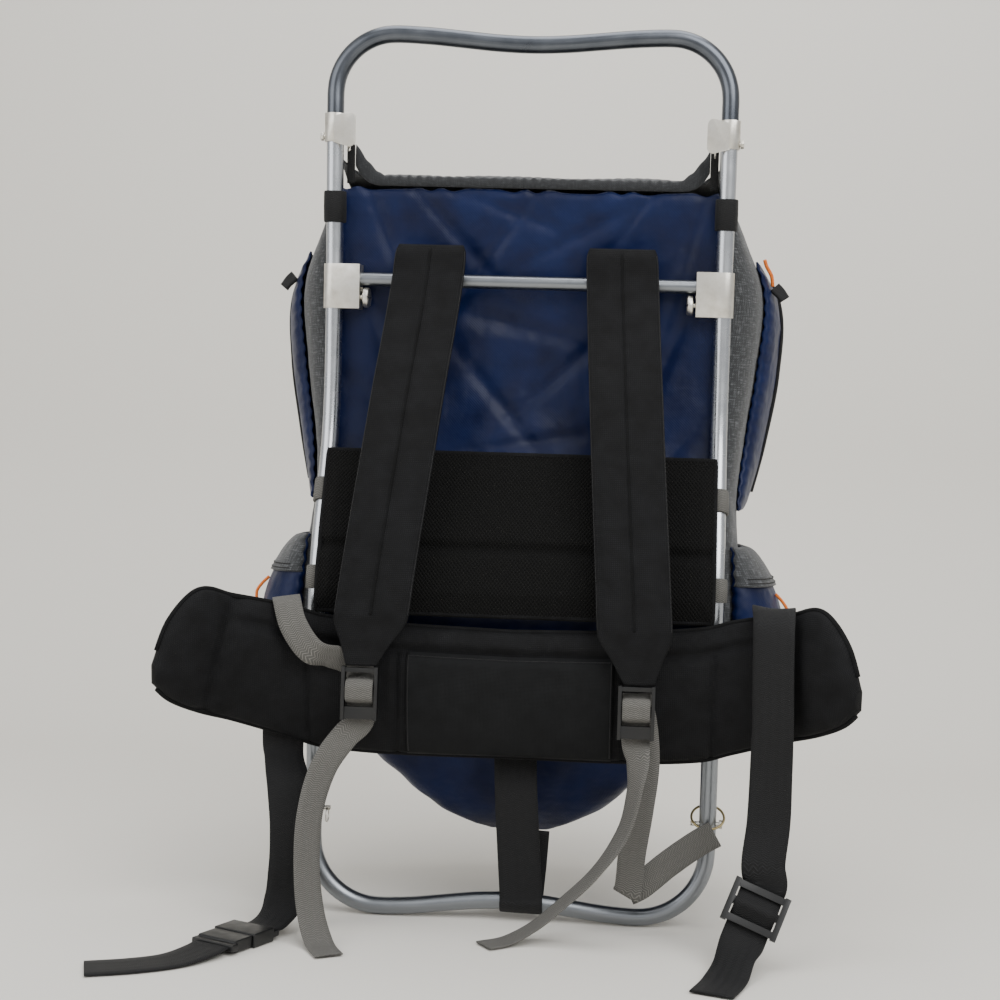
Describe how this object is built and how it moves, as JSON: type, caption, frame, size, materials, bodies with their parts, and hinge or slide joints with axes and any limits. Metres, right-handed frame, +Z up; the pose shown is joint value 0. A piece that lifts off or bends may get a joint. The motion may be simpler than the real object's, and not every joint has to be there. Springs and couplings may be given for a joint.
{
  "type": "external frame backpack",
  "caption": "Tube frame backpack with a packed cloth bag, side pockets, padded hip belt, mesh back band and shoulder pads.",
  "frame": {"origin": "middle of the lumbar patch's face, where the wearer's lower back rests", "axes": "+Z up along the frame, -Y towards the wearer, +X to the right as seen from the wearer's side"},
  "size_m": [0.6409, 0.5023, 0.8359],
  "materials": {
    "dark_tube": "grey anodised, smooth",
    "bright_tube": "bright anodised, polished",
    "satin_tube": "satin anodised",
    "nickel_fittings": "nickel plated sheet and turned steel",
    "brass_ring": "worn plated wire",
    "blue_cloth": "coated pack cloth, dark blue",
    "grey_cloth": "heathered pack cloth, grey",
    "black_cloth": "padded pack cloth, black",
    "black_mesh": "spacer mesh, black",
    "black_webbing": "woven webbing, black",
    "grey_webbing": "woven webbing, grey",
    "orange_cord": "braided cord, orange",
    "black_plastic": "moulded plastic, black"
  },
  "bodies": {
    "pack": {"upper_frame_tube": "dark_tube", "lower_frame_tube": "satin_tube", "main_tube_left": "bright_tube", "main_tube_right": "bright_tube", "crossbar": "satin_tube", "crossbar_clamp_left": "nickel_fittings", "crossbar_clamp_right": "nickel_fittings", "collar_left": "nickel_fittings", "collar_right": "nickel_fittings", "upper_pin_left": "nickel_fittings", "upper_ring_left": "nickel_fittings", "lower_pin_left": "nickel_fittings", "upper_pin_right": "nickel_fittings", "upper_ring_right": "nickel_fittings", "lower_pin_right": "nickel_fittings", "lower_ring_left": "nickel_fittings", "strap_ring_right": "brass_ring", "tube_sleeve_left": "black_webbing", "tube_sleeve_right": "black_webbing", "upper_side_loop_left": "grey_webbing", "upper_side_loop_right": "grey_webbing", "lower_side_loop_left": "grey_webbing", "lower_side_loop_right": "grey_webbing", "bag_back_panel": "blue_cloth", "bag_outer_panel": "blue_cloth", "side_gusset_left": "grey_cloth", "side_gusset_right": "grey_cloth", "base_compartment": "blue_cloth", "lid_rim": "grey_cloth", "lid": "grey_cloth", "corner_tab_left": "black_webbing", "corner_tab_right": "black_webbing", "upper_pocket_left": "blue_cloth", "lower_pocket_left": "blue_cloth", "pocket_flap_left": "grey_cloth", "upper_pocket_right": "blue_cloth", "lower_pocket_right": "blue_cloth", "pocket_flap_right": "grey_cloth", "zip_pull_left": "black_webbing", "pull_cord_left": "orange_cord", "zip_pull_right": "black_webbing", "pull_cord_right": "orange_cord", "back_band": "black_mesh", "hip_belt": "black_cloth", "lumbar_patch": "black_cloth", "shoulder_pad_left": "black_cloth", "ladder_lock_left": "black_plastic", "shoulder_pad_right": "black_cloth", "ladder_lock_right": "black_plastic", "lower_strap_left": "grey_webbing", "lower_strap_right": "grey_webbing", "belt_strap_right": "black_webbing", "belt_slider_right": "black_plastic", "belt_strap_left": "black_webbing", "buckle_socket": "black_plastic", "buckle_plug": "black_plastic", "belt_strap_end": "black_webbing", "bottom_strap": "black_webbing"},
    "left_screw": {"thumb_screw_left": "nickel_fittings"},
    "right_screw": {"thumb_screw_right": "nickel_fittings"}
  },
  "joints": [
    {"name": "left_screw_turn", "type": "hinge", "parent": "pack", "child": "left_screw", "pos_m": [-0.1655, 0.0661, 0.36855], "axis": [1, 0, 0], "range_deg": [0, 450]},
    {"name": "right_screw_turn", "type": "hinge", "parent": "pack", "child": "right_screw", "pos_m": [0.1655, 0.0661, 0.36855], "axis": [-1, 0, 0], "range_deg": [0, 450]}
  ]
}
